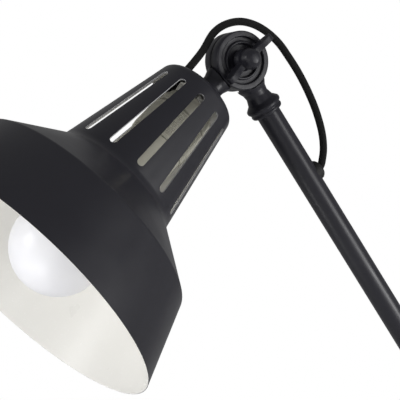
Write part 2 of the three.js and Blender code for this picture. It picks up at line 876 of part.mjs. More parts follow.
function makeCoil() {
  const coil = turned(
    [
      [COIL_R - COIL_WIDTH / 2, COIL_LOW + 1],
      [COIL_R - COIL_WIDTH / 2 + 1, COIL_LOW],
      [COIL_R + COIL_WIDTH / 2 - 1, COIL_LOW],
      [COIL_R + COIL_WIDTH / 2, COIL_LOW + 1],
      [COIL_R + COIL_WIDTH / 2, COIL_LOW + 5],
      [COIL_R + COIL_WIDTH / 2 - 4, COIL_HIGH],
      [COIL_R - COIL_WIDTH / 2 + 4, COIL_HIGH],
      [COIL_R - COIL_WIDTH / 2, COIL_LOW + 5],
    ],
    28,
  );
  const frame = flatFrame(COIL_AT, 0);
  piece('mains_coil', coil, braid, frame);

  const low = COIL_LOW - GAP;
  const high = COIL_HIGH + GAP;
  const inner = COIL_WIDTH + 3 * GAP;
  const outer = inner + 2 * TIE_WALL;
  const middle = (low + high) / 2;
  const band = block(TIE_WIDTH, outer, high - low + 2 * TIE_WALL, 0, -COIL_R, middle);
  const hollow = block(TIE_WIDTH + 2, inner, high - low, 0, -COIL_R, middle);
  piece('coil_tie', cut(band, hollow), blackRubber, frame);
}

function makePlug() {
  const frame = flatFrame(PLUG_AT, PLUG_ANGLE);
  const side = [[0, 4.6], [6, 6.2], [13, 15.4], [17, 17.6], [34, 17.6], [36, 16]];
  const outline = [...side, ...side.map(([x, y]) => [x, -y]).reverse()];
  const low = PLUG_MIDDLE - PLUG_THICKNESS / 2;
  const high = PLUG_MIDDLE + PLUG_THICKNESS / 2;
  const sides = [['left', 1], ['right', -1]];
  const sockets = sides.map(([, way]) =>
    rod(2.3, 28, 40, 14, 'x').translate([0, (way * PIN_SPACING) / 2, PLUG_MIDDLE]),
  );
  piece('plug_body', cut(slice(outline, low, high), ...sockets), blackPlastic, frame);
  for (const [word, way] of sides) {
    const pin = rod(2, 28.3, 55, 14, 'x').translate([0, (way * PIN_SPACING) / 2, PLUG_MIDDLE]);
    piece(`plug_pin_${word}`, pin, brass, frame);
  }
}

// ---------------------------------------------------------------- assembly

makeBase();
makeArm('lower_arm', 'base_knuckle', 'elbow', basePivot, LOWER_ARM_ANGLE);
makeArm('upper_arm', 'elbow', 'head', elbowPivot, UPPER_ARM_ANGLE);
makeHead();
knuckleHardware('elbow', frameAt(elbowPivot[0], elbowPivot[1], LOWER_ARM_ANGLE));
knuckleHardware('head', frameAt(headPivot[0], headPivot[1], UPPER_ARM_ANGLE));
thumbNut('base_knuckle', basePivot);
thumbNut('elbow', elbowPivot);
thumbNut('head', headPivot);
makeLoops();
piece('mains_lead', swept(leadRoute, CORD_R, 36), braid);
piece('mains_tail', swept(tailRoute, CORD_R, 6), braid);
makeSwitch();
makeCoil();
makePlug();

export default lamp;
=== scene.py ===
# The looks of the architect desk lamp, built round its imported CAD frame.
#
# Sizes are in millimetres in the row frame (+Z up, origin under the base) and are
# turned into metres when a mesh is made. Names and sizes follow the CAD source.

import math

import bmesh
import bpy
from mathutils import Matrix, Vector


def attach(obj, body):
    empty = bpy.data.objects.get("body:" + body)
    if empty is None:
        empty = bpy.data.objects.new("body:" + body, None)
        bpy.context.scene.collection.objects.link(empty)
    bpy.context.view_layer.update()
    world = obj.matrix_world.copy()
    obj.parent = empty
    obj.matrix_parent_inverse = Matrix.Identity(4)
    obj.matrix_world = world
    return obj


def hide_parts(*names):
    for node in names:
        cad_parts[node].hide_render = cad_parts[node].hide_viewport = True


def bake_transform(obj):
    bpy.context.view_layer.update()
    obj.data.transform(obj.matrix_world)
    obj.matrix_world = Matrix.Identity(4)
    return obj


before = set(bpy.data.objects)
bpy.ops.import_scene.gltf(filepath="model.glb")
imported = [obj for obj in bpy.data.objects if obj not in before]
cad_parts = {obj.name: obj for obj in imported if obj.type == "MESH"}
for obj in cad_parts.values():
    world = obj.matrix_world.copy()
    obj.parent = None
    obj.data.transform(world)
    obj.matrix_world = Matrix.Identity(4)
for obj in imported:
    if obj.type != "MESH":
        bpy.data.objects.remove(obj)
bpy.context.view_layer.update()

MM = 0.001
UP = "Z"

# ---------------------------------------- driving sizes

GAP = 0.3  # between touching solids
SNUG = 0.05  # between rubber and the metal it sits on
ARM_LENGTH = 340
TUBE_R = 8
TUBE_WALL = 1.5
BASE_PIVOT = (0, 76)
LOWER_ARM_ANGLE = 68  # degrees from +X towards +Z
UPPER_ARM_ANGLE = 126.35
SHADE_ANGLE = 223.53
FOOT_ANGLE = -90

KNUCKLE_R = 18.9
FRONT_FACE = 8.7
REAR_FACE = 7.7
BOLT_R = 3.1
SOCKET_FLOOR = 31
SOCKET_END = 39.2
STUD_R = 4.7

SHADE_OFFSET = 2.9
SHADE_TOP = 35
NECK_END = 118.9
SHOULDER_END = 148.6
RIM = 200.2
NECK_TOP_R = 26.7
NECK_END_R = 42.8
SHOULDER_R = 80.9
RIM_R = 98.6
SHADE_WALL = 1
SLOT_COUNT = 12
SLOT_WIDTH = 5
SLOT_START = 46
SLOT_END = 112.6
SLOT_PHASE = 13

BASE_R = 95
BASE_TOP_Z = 21.5
COVER_WALL = 1.5

CORD_R = 2.5
BUSH_BORE_R = CORD_R + GAP
BUSH_X = 19.4
ARM_BUSH = 91
BASE_BUSH_X = 52
LEAD_EXIT_Z = 8.4


def along(start, angle, length):
    turn = math.radians(angle)
    return (start[0] + length * math.cos(turn), start[1] + length * math.sin(turn))


ELBOW_PIVOT = along(BASE_PIVOT, LOWER_ARM_ANGLE, ARM_LENGTH)
HEAD_PIVOT = along(ELBOW_PIVOT, UPPER_ARM_ANGLE, ARM_LENGTH)


def frame_at(pivot, angle):
    """A place whose +Z points along an arm that leans at the angle from +X."""
    turn = Matrix.Rotation(math.radians(90 - angle), 4, "Y")
    return Matrix.Translation((pivot[0], 0, pivot[1])) @ turn


def flat_frame(centre, angle):
    turn = Matrix.Rotation(math.radians(angle), 4, "Z")
    return Matrix.Translation((centre[0], centre[1], 0)) @ turn


LOWER_ARM = frame_at(BASE_PIVOT, LOWER_ARM_ANGLE)
UPPER_ARM = frame_at(ELBOW_PIVOT, UPPER_ARM_ANGLE)
HEAD = frame_at(HEAD_PIVOT, SHADE_ANGLE)
FOOT = frame_at(BASE_PIVOT, FOOT_ANGLE)

# ---------------------------------------- camera

CAMERA_FROM_HEAD = Vector((-511.77, -877.26, -100.52))
CAMERA_AZIMUTH = -28.95
CAMERA_ELEVATION = -0.68
CAMERA_LENS = 143.34


def make_camera():
    data = bpy.data.cameras.new("camera")
    data.lens = CAMERA_LENS
    data.sensor_width = 36
    camera = bpy.data.objects.new("camera", data)
    bpy.context.scene.collection.objects.link(camera)
    azimuth = math.radians(CAMERA_AZIMUTH)
    elevation = math.radians(CAMERA_ELEVATION)
    level = math.cos(elevation)
    back = Vector(
        (math.sin(azimuth) * level, -math.cos(azimuth) * level, math.sin(elevation))
    )
    right = Vector((math.cos(azimuth), math.sin(azimuth), 0))
    turn = Matrix((right, back.cross(right), back)).transposed().to_4x4()
    place = (Vector((HEAD_PIVOT[0], 0, HEAD_PIVOT[1])) + CAMERA_FROM_HEAD) * MM
    camera.matrix_world = Matrix.Translation(place) @ turn
    bpy.context.scene.camera = camera


make_camera()

# ---------------------------------------- material helpers


class Finish:
    """One material's node tree, with short calls for its usual parts."""

    def __init__(self, name):
        self.material = bpy.data.materials.new(name)
        self.material.use_nodes = True
        self.tree = self.material.node_tree
        self.shader = self.tree.nodes["Principled BSDF"]
        self.place = self.make("ShaderNodeTexCoord").outputs["Object"]

    def make(self, kind, inputs=None, **settings):
        node = self.tree.nodes.new(kind)
        for name, value in settings.items():
            setattr(node, name, value)
        for name, value in (inputs or {}).items():
            self.put(node.inputs[name], value)
        return node

    def put(self, socket, value):
        if isinstance(value, bpy.types.NodeSocket):
            self.tree.links.new(value, socket)
        else:
            socket.default_value = value

    def set(self, **inputs):
        """Shader inputs by name, with _ for a space."""
        for name, value in inputs.items():
            self.put(self.shader.inputs[name.replace("_", " ")], value)

    def noise(self, size, detail=3, stretch=(1, 1, 1)):
        """Smooth noise from 0 to 1, with features about size mm across."""
        where = self.make(
            "ShaderNodeMapping",
            {"Vector": self.place, "Scale": [s / (size * MM) for s in stretch]},
        ).outputs[0]
        return self.make(
            "ShaderNodeTexNoise", {"Vector": where, "Scale": 1.0, "Detail": detail}
        ).outputs[0]

    def cells(self, size):
        """Distance to the nearest of scattered points about size mm apart."""
        return self.make(
            "ShaderNodeTexVoronoi", {"Vector": self.place, "Scale": 1 / (size * MM)}
        ).outputs["Distance"]

    def maths(self, operation, first, second=0.0, clamp=False):
        node = self.make("ShaderNodeMath", operation=operation, use_clamp=clamp)
        self.put(node.inputs[0], first)
        self.put(node.inputs[1], second)
        return node.outputs[0]

    def span(self, value, start, end, low=0.0, high=1.0):
        """value from start..end, taken to low..high and kept within them."""
        inputs = {"Value": value, "From Min": start, "From Max": end, "To Min": low, "To Max": high}
        return self.make("ShaderNodeMapRange", inputs).outputs[0]

    def mix(self, share, first, second):
        node = self.make("ShaderNodeMix", data_type="RGBA")
        self.put(node.inputs[0], share)
        self.put(node.inputs[6], first)
        self.put(node.inputs[7], second)
        return node.outputs[2]

    def bump(self, height, depth, normal=None):
        inputs = {"Height": height, "Distance": depth * MM, "Strength": 1.0}
        if normal:
            inputs["Normal"] = normal
        return self.make("ShaderNodeBump", inputs).outputs[0]

    def edges(self, width):
        """1 on edges and corners, 0 on the open surface."""
        rounded_normal = self.make("ShaderNodeBevel", {"Radius": width * MM}, samples=6).outputs[0]
        true_normal = self.make("ShaderNodeNewGeometry").outputs["Normal"]
        dot = self.make("ShaderNodeVectorMath", operation="DOT_PRODUCT")
        self.put(dot.inputs[0], rounded_normal)
        self.put(dot.inputs[1], true_normal)
        return self.span(dot.outputs["Value"], 0.97, 0.8)


def shade_of(colour, amount):
    return [min(1.0, c * amount) for c in colour[:3]] + [1.0]


def coated(name, colour, roughness, metallic=0.0, mottle=0.15, mottle_size=30, grain=0.4,
           grain_depth=0.01, smudge=0.08, wear=None, wear_width=0.5):
    """A painted, moulded or plated surface with cloudy colour, fine grain and worn edges."""
    f = Finish(name)
    cloud = f.noise(mottle_size)
    fine = f.noise(grain, detail=2)
    base = f.mix(cloud, shade_of(colour, 1 - mottle), shade_of(colour, 1 + mottle))
    base = f.mix(f.span(fine, 0.62, 0.8, 0, 0.25), base, shade_of(colour, 1.6))
    blotches = f.noise(mottle_size * 0.6, detail=5)
    rough = f.span(blotches, 0.3, 0.7, roughness - smudge, roughness + smudge)
    if wear:
        rubbed = f.maths("MULTIPLY", f.edges(wear_width), f.span(f.noise(4), 0.35, 0.7))
        base = f.mix(rubbed, base, wear)
        rough = f.maths("SUBTRACT", rough, f.maths("MULTIPLY", rubbed, 0.08))
    f.set(Base_Color=base, Roughness=rough, Metallic=metallic)
    f.set(Normal=f.bump(fine, grain_depth))
    return f


# ---------------------------------------- materials

GREY_RUB = (0.16, 0.16, 0.165, 1)


def satin_black_paint():
    f = coated("satin_black_paint", (0.0145, 0.0142, 0.019), 0.34, mottle=0.12, mottle_size=45,
               grain=1.6, grain_depth=0.004, smudge=0.05, wear=(0.028, 0.028, 0.032, 1), wear_width=0.4)
    f.set(Specular_IOR_Level=0.3, Coat_Weight=0.04, Coat_Roughness=0.3)
    return f.material


def black_casting():
    f = coated("black_casting", (0.014, 0.0138, 0.0185), 0.38, mottle=0.2, mottle_size=14,
               grain=1.1, grain_depth=0.05, smudge=0.08, wear=(0.06, 0.06, 0.064, 1), wear_width=0.7)
    rounded_normal = f.make("ShaderNodeBevel", {"Radius": 0.9 * MM}, samples=6).outputs[0]
    pits = f.span(f.cells(1.6), 0.0, 0.4)
    lumps = f.bump(f.noise(3.5), 0.09, rounded_normal)
    f.set(Specular_IOR_Level=0.25, Normal=f.bump(pits, 0.012, lumps))
    return f.material


def white_enamel():
    f = coated("white_enamel", (0.80, 0.79, 0.755), 0.32, mottle=0.03, mottle_size=40,
               grain=1.5, grain_depth=0.015, smudge=0.06)
    f.set(Coat_Weight=0.3, Coat_Roughness=0.12)
    return f.material


# The slot walls' light grey is partly the cut steel's own paler tone and partly a painted highlight,
# the light that the sheet's cut edge catches.
def punched_edge_and_highlight():
    return coated("punched_edge_and_highlight", (0.34, 0.34, 0.35), 0.4, mottle=0.15, mottle_size=6,
                  grain=2, grain_depth=0.003).material


def black_rubber():
    f = coated("black_rubber", (0.007, 0.007, 0.0075), 0.62, mottle=0.25, mottle_size=8,
               grain=0.35, grain_depth=0.02, wear=(0.02, 0.02, 0.021, 1), wear_width=0.4)
    f.set(Specular_IOR_Level=0.3)
    return f.material


def black_plastic():
    return coated("black_plastic", (0.013, 0.013, 0.014), 0.38, mottle=0.12, mottle_size=20,
                  grain=0.3, grain_depth=0.012, wear=(0.05, 0.05, 0.052, 1),
                  wear_width=0.4).material


def metal(name, colour, roughness, scratch=0.02, wear=None):
    """Bare or plated metal with fine turning lines and small scratches."""
    f = coated(name, colour, roughness, metallic=1.0, mottle=0.12, mottle_size=6, grain=0.25,
               grain_depth=0.006, smudge=0.1, wear=wear, wear_width=0.3)
    lines = f.noise(0.35, stretch=(0.2, 1, 3))
    f.set(Normal=f.bump(lines, scratch))
    return f.material


def cast_iron():
    return coated("cast_iron", (0.05, 0.048, 0.046), 0.75, metallic=0.6, mottle=0.35,
                  mottle_size=9, grain=1.2, grain_depth=0.15, wear=GREY_RUB).material


def grey_phenolic():
    return coated("grey_phenolic", (0.46, 0.45, 0.39), 0.4, mottle=0.12, mottle_size=6,
                  grain=0.5, grain_depth=0.02, wear=(0.6, 0.59, 0.54, 1),
                  wear_width=0.3).material


def ceramic():
    return coated("ceramic", (0.72, 0.69, 0.62), 0.25, mottle=0.05, mottle_size=10,
                  grain=0.8, grain_depth=0.02).material


def frosted_glass():
    f = Finish("frosted_glass")
    cloud = f.noise(18)
    base = f.mix(cloud, (0.83, 0.83, 0.86, 1), (0.88, 0.88, 0.91, 1))
    f.set(Base_Color=base, Roughness=f.span(f.noise(9), 0.3, 0.7, 0.4, 0.5))
    f.set(Subsurface_Weight=0.6, Subsurface_Radius=(1, 1, 1), Subsurface_Scale=0.006)
    f.set(Coat_Weight=0.15, Coat_Roughness=0.3)
    f.set(Normal=f.bump(f.noise(0.5), 0.003))
    return f.material


def fibre():
    return coated("fibre", (0.06, 0.025, 0.018), 0.7, mottle=0.3, mottle_size=3, grain=0.4,
                  grain_depth=0.05).material


def felt():
    f = coated("felt", (0.012, 0.012, 0.013), 0.95, mottle=0.5, mottle_size=4, grain=0.3,
               grain_depth=0.25)
    f.set(Sheen_Weight=0.3, Sheen_Roughness=0.6)
    return f.material


BRAID_ENDS = 16  # yarns each way round the flex
BRAID_PITCH = 17  # mm for one yarn to go once round


def braided_flex():
    """Woven cotton sleeve. Its weave follows the place stored on each flex's mesh."""
    f = Finish("braided_flex")
    stored = f.make("ShaderNodeAttribute", attribute_name="flex_place").outputs["Vector"]
    split = f.make("ShaderNodeSeparateXYZ", {"Vector": stored}).outputs
    round_it = f.maths("ARCTAN2", split[1], split[0])
    travel = f.maths("MULTIPLY", split[2], 2 * math.pi / BRAID_PITCH)
    ends = BRAID_ENDS / 2
    left = f.maths("MULTIPLY", f.maths("ADD", round_it, travel), ends)
    right = f.maths("MULTIPLY", f.maths("SUBTRACT", round_it, travel), ends)
    left_yarn = f.maths("ABSOLUTE", f.maths("SINE", left))
    right_yarn = f.maths("ABSOLUTE", f.maths("SINE", right))
    over = f.maths("MULTIPLY", f.maths("COSINE", left), f.maths("COSINE", right))
    which = f.span(over, -0.15, 0.15)
    height = f.mix(which, left_yarn, right_yarn)
    hairs = f.noise(0.25, detail=4)
    # Darker where the yarns dip between each other: painted shade in the weave's grooves.
    tone = f.mix(f.span(height, 0.15, 0.9), (0.002, 0.002, 0.002, 1), (0.0075, 0.0075, 0.0075, 1))
    tone = f.mix(f.span(hairs, 0.55, 0.8, 0, 0.5), tone, (0.016, 0.016, 0.0155, 1))
    f.set(Base_Color=tone, Roughness=f.span(hairs, 0.2, 0.8, 0.75, 0.95))
    f.set(Sheen_Weight=0.03, Sheen_Roughness=0.5, Specular_IOR_Level=0.2)
    f.set(Normal=f.bump(hairs, 0.05, f.bump(height, 0.22)))
    return f.material


FINISHES = {
    "satin_black_paint": satin_black_paint(),
    "black_casting": black_casting(),
    "white_enamel": white_enamel(),
    "punched_edge_and_highlight": punched_edge_and_highlight(),
    "black_rubber": black_rubber(),
    "black_plastic": black_plastic(),
    "braided_flex": braided_flex(),
    "blackened_steel": metal("blackened_steel", (0.045, 0.044, 0.046), 0.42, wear=(0.3, 0.3, 0.31, 1)),
    "zinc_plated_steel": metal("zinc_plated_steel", (0.42, 0.42, 0.41), 0.36),
    "nickel_bulb_cap": metal("nickel_bulb_cap", (0.55, 0.54, 0.5), 0.3),
    "brass": metal("brass", (0.62, 0.44, 0.18), 0.3),
    "cast_iron": cast_iron(),
    "grey_phenolic": grey_phenolic(),
    "ceramic": ceramic(),
    "frosted_glass": frosted_glass(),
    "fibre": fibre(),
    "felt": felt(),
}

# ---------------------------------------- mesh helpers

SHARP_ANGLE = math.radians(34)


def new_object(name, points, faces, marks=None):
    """A mesh object in millimetres with its faces turned outwards."""
    mesh = bpy.data.meshes.new(name)
    mesh.from_pydata(points, [], faces)
    if marks:
        mesh.polygons.foreach_set("material_index", marks)
    shape = bmesh.new()
    shape.from_mesh(mesh)
    bmesh.ops.recalc_face_normals(shape, faces=shape.faces)
    shape.to_mesh(mesh)
    shape.free()
    made = bpy.data.objects.new(name, mesh)
    bpy.context.scene.collection.objects.link(made)
    return made


AXIS_TURN = {
    "Z": Matrix.Identity(4),
    "Y": Matrix.Rotation(math.radians(-90), 4, "X"),
    "X": Matrix.Rotation(math.radians(90), 4, "Y"),
}


def turned(outline, segments=96, axis=UP, marks=None):
    """A solid from [radius, height] points, closed on itself or on the axis."""
    on_axis = outline[0][0] == 0 and outline[-1][0] == 0
    points = []
    rings = []
    for radius, height in outline:
        if radius == 0:
            rings.append([len(points)] * segments)
            points.append((0, 0, height))
            continue
        rings.append(range(len(points), len(points) + segments))
        for i in range(segments):
            turn = 2 * math.pi * i / segments
            points.append((radius * math.cos(turn), radius * math.sin(turn), height))
    pairs = list(zip(rings, rings[1:]))
    if not on_axis:
        pairs.append((rings[-1], rings[0]))
    faces = []
    face_marks = []
    for k, (low, high) in enumerate(pairs):
        for i in range(segments):
            j = (i + 1) % segments
            face = list(dict.fromkeys([low[i], low[j], high[j], high[i]]))
            if len(face) > 2:
                faces.append(face)
                face_marks.append(marks[k] if marks else 0)
    made = new_object("turned", points, faces, face_marks)
    made.data.transform(AXIS_TURN[axis])
    return made


def rod(radius, start, end, segments=48, axis=UP):
    return turned([(0, start), (radius, start), (radius, end), (0, end)], segments, axis)


def ring(inner, outer, start, end, segments=64, axis=UP, soft=0.2):
    outline = [(inner, start), (outer, start), (outer, end), (inner, end)]
    return turned(rounded(outline, soft), segments, axis)


def rounded(outline, radius=0.5, steps=3):
    """The outline with its corners rounded, apart from ends on the axis."""
    on_axis = outline[0][0] == 0 and outline[-1][0] == 0
    corners = [Vector(p) for p in outline]
    made = []
    for i, corner in enumerate(corners):
        if on_axis and i in (0, len(corners) - 1):
            made.append(corner)
            continue
        back = corners[i - 1] - corner
        on = corners[(i + 1) % len(corners)] - corner
        straight = back.angle(on)
        if straight > math.radians(172):
            made.append(corner)
            continue
        reach = min(radius / math.tan(straight / 2), 0.42 * back.length, 0.42 * on.length)
        start = corner + back.normalized() * reach
        end = corner + on.normalized() * reach
        for step in range(steps + 1):
            t = step / steps
            made.append(start * (1 - t) ** 2 + corner * 2 * t * (1 - t) + end * t**2)
    return [(p[0], p[1]) for p in made]


def block(size, centre, soft=0.0):
    shape = bmesh.new()
    bmesh.ops.create_cube(shape, size=1)
    bmesh.ops.scale(shape, vec=size, verts=shape.verts)
    bmesh.ops.translate(shape, vec=centre, verts=shape.verts)
    return from_bmesh("block", shape, soft)


def from_bmesh(name, shape, soft=0.0, steps=3):
    if soft:
        hard = [e for e in shape.edges if e.calc_face_angle(0) > SHARP_ANGLE]
        bmesh.ops.bevel(shape, geom=hard, offset=soft, segments=steps, profile=0.5,
                        affect="EDGES", clamp_overlap=True)
    bmesh.ops.recalc_face_normals(shape, faces=shape.faces)
    mesh = bpy.data.meshes.new(name)
    shape.to_mesh(mesh)
    shape.free()
    made = bpy.data.objects.new(name, mesh)
    bpy.context.scene.collection.objects.link(made)
    return made


def slice_of(outline, start, end, soft=0.0, steps=3):
    """A flat outline in X and Y, stood up from one height to another."""
    shape = bmesh.new()
    low = [shape.verts.new((x, y, start)) for x, y in outline]
    high = [shape.verts.new((x, y, end)) for x, y in outline]
    shape.faces.new(low[::-1])
    shape.faces.new(high)
    for i in range(len(low)):
        j = (i + 1) % len(low)
        shape.faces.new((low[i], low[j], high[j], high[i]))
    return from_bmesh("slice", shape, soft, steps)


def moved(thing, x=0.0, y=0.0, z=0.0):
    thing.data.transform(Matrix.Translation((x, y, z)))
    return thing


def turned_by(thing, degrees, axis):
    thing.data.transform(Matrix.Rotation(math.radians(degrees), 4, axis))
    return thing


def combine(operation, first, *others):
    """first joined with, cut by or limited to the others, which are used up."""
    for other in others:
        step = first.modifiers.new("combine", "BOOLEAN")
        step.operation = operation
        step.solver = "EXACT"
        step.object = other
    view = bpy.context.evaluated_depsgraph_get()
    mesh = bpy.data.meshes.new_from_object(first.evaluated_get(view))
    first.modifiers.clear()
    first.data = mesh
    for other in others:
        bpy.data.objects.remove(other)
    return first


def join(first, *others):
    return combine("UNION", first, *others)


def cut(first, *others):
    return combine("DIFFERENCE", first, *others)


def common(first, *others):
    return combine("INTERSECT", first, *others)


def finish_piece(thing, name, place, finish, body, stands_for=()):
    """Puts a mesh in its place in the row frame, smooths it and ties it to the CAD."""
    thing.name = name
    thing.data.name = name
    thing.data.transform(Matrix.Scale(MM, 4) @ place)
    if place.determinant() < 0:
        thing.data.flip_normals()
    thing.data.shade_smooth()
    thing.data.set_sharp_from_angle(angle=SHARP_ANGLE)
    names = [finish] if isinstance(finish, str) else finish
    thing.data.materials.clear()
    for each in names:
        thing.data.materials.append(FINISHES[each])
    if body:
        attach(thing, body)
    if stands_for:
        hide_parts(*stands_for)
    return thing


HERE = Matrix.Identity(4)

# ---------------------------------------- flex


def smooth_path(points, spacing):
    """Points about spacing apart on a centripetal curve through the given ones."""
    known = [Vector(p) for p in points]
    known = [2 * known[0] - known[1], *known, 2 * known[-1] - known[-2]]
    dense = []
    for a, b, c, d in zip(known, known[1:], known[2:], known[3:]):
        steps = max(2, round((c - b).length / (spacing / 4)))
        ta = 0.0
        tb = ta + (b - a).length ** 0.5
        tc = tb + (c - b).length ** 0.5
        td = tc + (d - c).length ** 0.5
        for i in range(steps):
            t = tb + (tc - tb) * i / steps
            ab = a.lerp(b, (t - ta) / (tb - ta))
            bc = b.lerp(c, (t - tb) / (tc - tb))
            cd = c.lerp(d, (t - tc) / (td - tc))
            abc = ab.lerp(bc, (t - ta) / (tc - ta))
            bcd = bc.lerp(cd, (t - tb) / (td - tb))
            dense.append(abc.lerp(bcd, (t - tb) / (tc - tb)))
    dense.append(known[-2])
    total = sum((q - p).length for p, q in zip(dense, dense[1:]))
    wanted = total / round(total / spacing)
    even = [dense[0]]
    travelled = 0.0
    for p, q in zip(dense, dense[1:]):
        travelled += (q - p).length
        if travelled >= wanted:
            even.append(q - (q - p).normalized() * (travelled - wanted))
            travelled -= wanted
    if (even[-1] - dense[-1]).length < wanted / 2:
        even.pop()
    even.append(dense[-1])
    return even


def tube(path, radius=CORD_R, sides=20):
    """A round tube along the path, which keeps its place round and along on each vertex."""
    points = []
    places = []
    side = None
    travelled = 0.0
    for i, point in enumerate(path):
        before = path[max(i - 1, 0)]
        after = path[min(i + 1, len(path) - 1)]
        heading = (after - before).normalized()
        if side is None:
            side = heading.orthogonal().normalized()
        side = (side - heading * side.dot(heading)).normalized()
        other = heading.cross(side)
        travelled += (point - before).length
        for k in range(sides):
            turn = 2 * math.pi * k / sides
            points.append(point + radius * (math.cos(turn) * side + math.sin(turn) * other))
            places += [math.cos(turn), math.sin(turn), travelled]
    faces = []
    for i in range(len(path) - 1):
        for k in range(sides):
            n = (k + 1) % sides
            a = i * sides
            b = a + sides
            faces.append((a + k, a + n, b + n, b + k))
    last = (len(path) - 1) * sides
    faces.append(tuple(reversed(range(sides))))
    faces.append(tuple(range(last, last + sides)))
    made = new_object("tube", points, faces)
    stored = made.data.attributes.new("flex_place", "FLOAT_VECTOR", "POINT")
    stored.data.foreach_set("vector", places)
    return made


def seen_from(place, points):
    """Local [x, z] points as places in the row frame."""
    return [place @ Vector((x, 0, z)) for x, z in points]


def from_pivot(pivot, points):
    return [Vector((pivot[0] + x, 0, pivot[1] + z)) for x, z in points]


FLEX_SPACING = 1.6
BUSH_END = 5.9
AT_BUSH = 11.2
CLEAR_OF_BUSH = 13.5


def out_of_arm(place, height):
    return seen_from(place, [(x, height) for x in (BUSH_END, AT_BUSH, CLEAR_OF_BUSH)])


def flex_loop(name, node, points):
    """A flex tube that loops round a knuckle from one arm to the other, baked into the row frame with
    no body of its own.
    """
    path = smooth_path(points, FLEX_SPACING)
    loop = finish_piece(tube(path), name, HERE, "braided_flex", None, [node])
    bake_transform(loop)
    return loop


def make_head_loop():
    inside_shade = seen_from(HEAD, [(17.2, 50), (18.6, 45.5), (BUSH_X, 41)])
    in_bush = seen_from(HEAD, [(BUSH_X, SHADE_TOP + 2), (BUSH_X, SHADE_TOP - 4)])
    over = from_pivot(HEAD_PIVOT, [
        (-24.9, 5), (-16.6, 17.3), (-8.5, 22.9), (2, 25.6), (12, 24.6), (21.7, 20.7),
        (31.6, 13.6), (39.4, 4.7), (47, -5.3), (54.8, -18), (60.8, -30.4), (65.2, -44),
        (66.3, -54), (65.6, -60.4),
    ])
    height = ARM_LENGTH - ARM_BUSH
    into_arm = seen_from(UPPER_ARM, [(AT_BUSH + 1.2, height), (BUSH_END, height)])
    flex_loop("head_flex", "head_flex_loop", [*inside_shade, *in_bush, *over, *into_arm])


def make_elbow_loop():
    over = from_pivot(ELBOW_PIVOT, [
        (-36, 85.5), (-27, 86), (-16, 80), (-4, 68), (9, 51), (19, 32), (26, 12),
        (28, -8), (25, -28), (18, -49), (9, -69), (3, -82), (-4, -90), (-12, -92.6),
    ])
    top = out_of_arm(UPPER_ARM, ARM_BUSH)
    bottom = out_of_arm(LOWER_ARM, ARM_LENGTH - ARM_BUSH)[::-1]
    flex_loop("elbow_flex", "elbow_flex_loop", [*top, *over, *bottom])


def make_base_loop():
    over = from_pivot(BASE_PIVOT, [
        (56, 76), (66, 63), (73, 44), (76, 22), (75, 0), (69, -20), (60, -34), (53, -45),
    ])
    top = out_of_arm(LOWER_ARM, ARM_BUSH)
    into_base = from_pivot((0, 0), [(BASE_BUSH_X, BASE_TOP_Z + 4), (BASE_BUSH_X, BASE_TOP_Z - 3.3)])
    flex_loop("base_flex", "base_flex_loop", [*top, *over, *into_base])


LEAD_Z = CORD_R + 0.3
SWITCH_AT = (150, 85)
SWITCH_ANGLE = 112
SWITCH_LENGTH = 58
SWITCH_HALF_WIDTH = 12
SWITCH_SPLIT = 9
SWITCH_TOP = 18
ROCKER_PIVOT_Z = 16
ROCKER_TILT = 8
COIL_AT = (36, 152)
COIL_R = 29
COIL_WIDTH = 20.5
COIL_LOW = 1.4
COIL_HIGH = 11.1
TIE_WIDTH = 7
TIE_WALL = 1
PLUG_AT = (-35.6, 142.3)
PLUG_ANGLE = 196
PLUG_THICKNESS = 13.7
PLUG_MIDDLE = 7
PIN_SPACING = 19

SWITCH = flat_frame(SWITCH_AT, SWITCH_ANGLE)
COIL = flat_frame(COIL_AT, 0)
PLUG = flat_frame(PLUG_AT, PLUG_ANGLE)

along_switch = [SWITCH @ Vector((x, 0, SWITCH_SPLIT)) for x in (-36, -32, 0, 32, 36)]

LEAD_ROUTE = [
    (85, 0, LEAD_EXIT_Z), (104, 0, LEAD_EXIT_Z), (124, 0, LEAD_EXIT_Z),
    (128, 0, LEAD_EXIT_Z - 0.1), (140, 2.4, 5), (152, 9, LEAD_Z), (161, 20, LEAD_Z),
    (165.6, 33, LEAD_Z + 1.4), (165.8, 44, 6.8), *along_switch, (131.6, 129, 6.2),
    (125, 140, LEAD_Z + 1), (115, 153, LEAD_Z), (101, 167, LEAD_Z), (83, 180, LEAD_Z),
    (64, 189, LEAD_Z + 0.5), (46.9, 193.4, COIL_LOW + CORD_R),
]
TAIL_ROUTE = [
    (-8.5, 161.5, 4), (-18, 151, LEAD_Z + 0.4), (-25, 146, 5), (-31.5, 143.5, PLUG_MIDDLE),
    (-42, 140.4, PLUG_MIDDLE),
]


def ease(t):
    t = min(1.0, max(0.0, t))
    return t * t * (3 - 2 * t)


def coil_turns():
    """Four turns wound inwards on the table, then three outwards on top of them."""
    low = COIL_LOW + CORD_R
    high = low + 4.4
    pitch = 2 * CORD_R + 0.1
    outer = COIL_R + COIL_WIDTH / 2 - CORD_R - 0.1
    layers = [(outer - pitch * i, low) for i in range(4)]
    layers += [(outer - pitch * (2.5 - i), high) for i in range(3)]
    first = 105  # where each turn starts, in degrees from +X
    step_over = 60  # degrees at a turn's end in which it moves to the next one
    points = []
    for turn, (radius, z) in enumerate(layers):
        after = layers[turn + 1] if turn < len(layers) - 1 else (radius, z)
        early = 60 if after[1] > z else 0
        for degrees in range(0, 360, 6):
            share = ease((degrees - (360 - step_over - early)) / step_over)
            hump = 0.5 * math.sin(math.pi * share) if z == high else 0
            r = radius + (after[0] - radius) * share
            up = z + (after[1] - z) * share + hump
            polar = math.radians(first + degrees)
            points.append((COIL_AT[0] + r * math.cos(polar), COIL_AT[1] + r * math.sin(polar), up))
    return points


